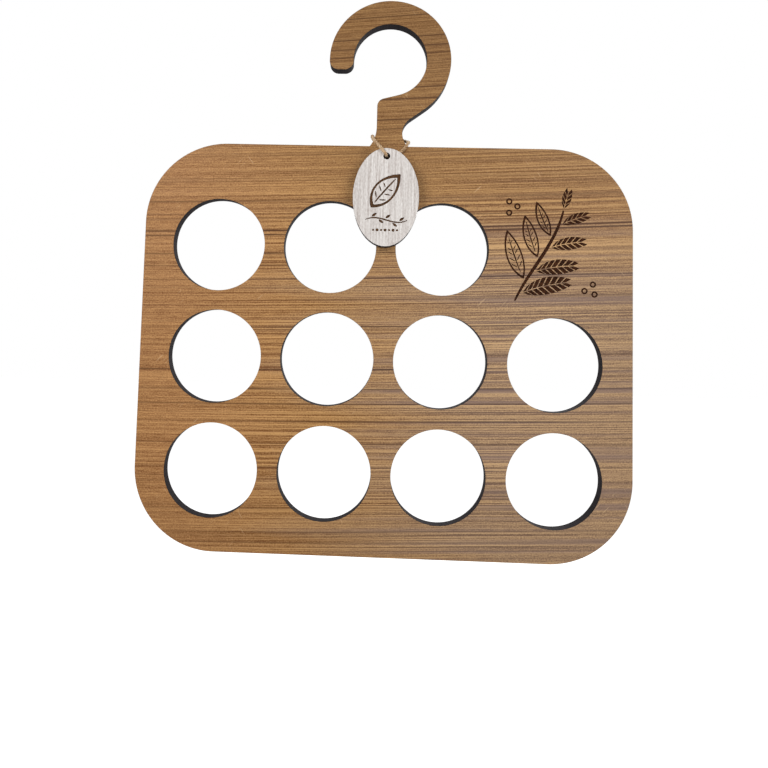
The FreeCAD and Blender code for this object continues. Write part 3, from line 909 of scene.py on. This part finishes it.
def build_board(charred):
    """Both veneers of the board, the burnt floor of the sprig, and the core's cut edges."""
    finishes = (veneer_finish(), charred)
    sprig = sprig_drawing()
    faced_sheet("front_veneer", "board_front_veneer", sprig, BOARD_RIM, "hanger", "board_veneer", finishes)
    faced_sheet("back_veneer", "board_back_veneer", [], BOARD_RIM, "hanger", "board_veneer", finishes)
    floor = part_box("board_front_veneer")[1][1]
    burnt = flat_plate("burnt_sprig", sprig, floor, floor - BOARD_BURN)
    dress(burnt, "hanger", "board_veneer", burnt_finish("burnt_board", BURNT_BOARD))
    dress_core("board_core", charred)


def build_tag(charred):
    """Both faces of the tag, its burnt drawing, and its cut edges."""
    finishes = (tag_face_finish(), charred)
    drawing = tag_drawing()
    faced_sheet("tag_front", "tag_front_face", drawing, TAG_RIM, "tag", "tag_face", finishes)
    faced_sheet("tag_back", "tag_back_face", [], TAG_RIM, "tag", "tag_face", finishes)
    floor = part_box("tag_front_face")[1][1]
    burnt = flat_plate("burnt_tag_leaf", drawing, floor, floor - TAG_BURN)
    dress(burnt, "tag", "tag_face", burnt_finish("burnt_tag", BURNT_TAG))
    dress_core("tag_core", charred)


def set_camera():
    """The camera at the photograph's place and angle."""
    camera = bpy.data.cameras.new("camera")
    camera.lens = CAMERA_LENS
    camera.sensor_width = CAMERA_SENSOR
    camera.shift_x, camera.shift_y = CAMERA_SHIFT
    camera.clip_start = CAMERA_NEAR
    holder = bpy.data.objects.new("camera", camera)
    holder.location = CAMERA_PLACE
    holder.rotation_euler = [math.radians(turn) for turn in CAMERA_TURN]
    bpy.context.scene.collection.objects.link(holder)
    bpy.context.scene.camera = holder


def seen_white(tree):
    """1 on rays that come from the camera, a mirror or glass, and 0 on the rays that light the hanger."""
    path = tree.nodes.new("ShaderNodeLightPath")
    seen = path.outputs["Is Camera Ray"]
    for other in ("Is Glossy Ray", "Is Transmission Ray"):
        either = tree.nodes.new("ShaderNodeMath")
        either.operation = "MAXIMUM"
        tree.links.new(seen, either.inputs[0])
        tree.links.new(path.outputs[other], either.inputs[1])
        seen = either.outputs[0]
    return seen


def set_room():
    """White room light, seen as plain white."""
    world = bpy.data.worlds.new("white_room")
    world.use_nodes = True
    tree = world.node_tree
    room = tree.nodes["Background"]
    room.inputs["Color"].default_value = WHITE
    room.inputs["Strength"].default_value = ROOM_LIGHT
    white = tree.nodes.new("ShaderNodeBackground")
    white.inputs["Color"].default_value = WHITE
    either = tree.nodes.new("ShaderNodeMixShader")
    tree.links.new(seen_white(tree), either.inputs[0])
    tree.links.new(room.outputs[0], either.inputs[1])
    tree.links.new(white.outputs[0], either.inputs[2])
    tree.links.new(either.outputs[0], tree.nodes["World Output"].inputs["Surface"])
    bpy.context.scene.world = world


def floor_paint():
    """Pale paint that keeps the hanger's shadow and glows enough to be seen as white."""
    paint = bpy.data.materials.new("pale_floor")
    paint.use_nodes = True
    tree = paint.node_tree
    matt = tree.nodes["Principled BSDF"]
    matt.inputs["Base Color"].default_value = FLOOR_PAINT
    matt.inputs["Roughness"].default_value = FLOOR_ROUGHNESS
    glow = tree.nodes.new("ShaderNodeEmission")
    share = tree.nodes.new("ShaderNodeMath")
    share.operation = "MULTIPLY"
    share.inputs[1].default_value = FLOOR_GLOW
    tree.links.new(seen_white(tree), share.inputs[0])
    tree.links.new(share.outputs[0], glow.inputs["Strength"])
    both = tree.nodes.new("ShaderNodeAddShader")
    tree.links.new(matt.outputs[0], both.inputs[0])
    tree.links.new(glow.outputs[0], both.inputs[1])
    tree.links.new(both.outputs[0], tree.nodes["Material Output"].inputs["Surface"])
    return paint


def lay_floor():
    """A wide, flat floor."""
    ground = bmesh.new()
    bmesh.ops.create_grid(ground, x_segments=1, y_segments=1, size=FLOOR_SIZE / 2)
    bmesh.ops.translate(ground, verts=ground.verts, vec=(0.0, 0.0, FLOOR_HEIGHT))
    mesh = bpy.data.meshes.new("floor")
    ground.to_mesh(mesh)
    ground.free()
    mesh.materials.append(floor_paint())
    floor = bpy.data.objects.new("floor", mesh)
    bpy.context.scene.collection.objects.link(floor)


def set_lamps():
    """Soft square lamps that look at the board."""
    for name, facts in LAMPS.items():
        lamp = bpy.data.lights.new(name, "AREA")
        lamp.size = facts["size"]
        lamp.energy = facts["power"]
        holder = bpy.data.objects.new(name, lamp)
        holder.location = facts["place"]
        way = LAMP_AIM - Vector(facts["place"])
        holder.rotation_euler = way.to_track_quat("-Z", "Y").to_euler()
        bpy.context.scene.collection.objects.link(holder)


set_camera()
tie_twine(jute_finish())
charred_edge = charred_finish()
build_board(charred_edge)
build_tag(charred_edge)
set_room()
lay_floor()
set_lamps()
bpy.context.scene.view_settings.view_transform = "Standard"
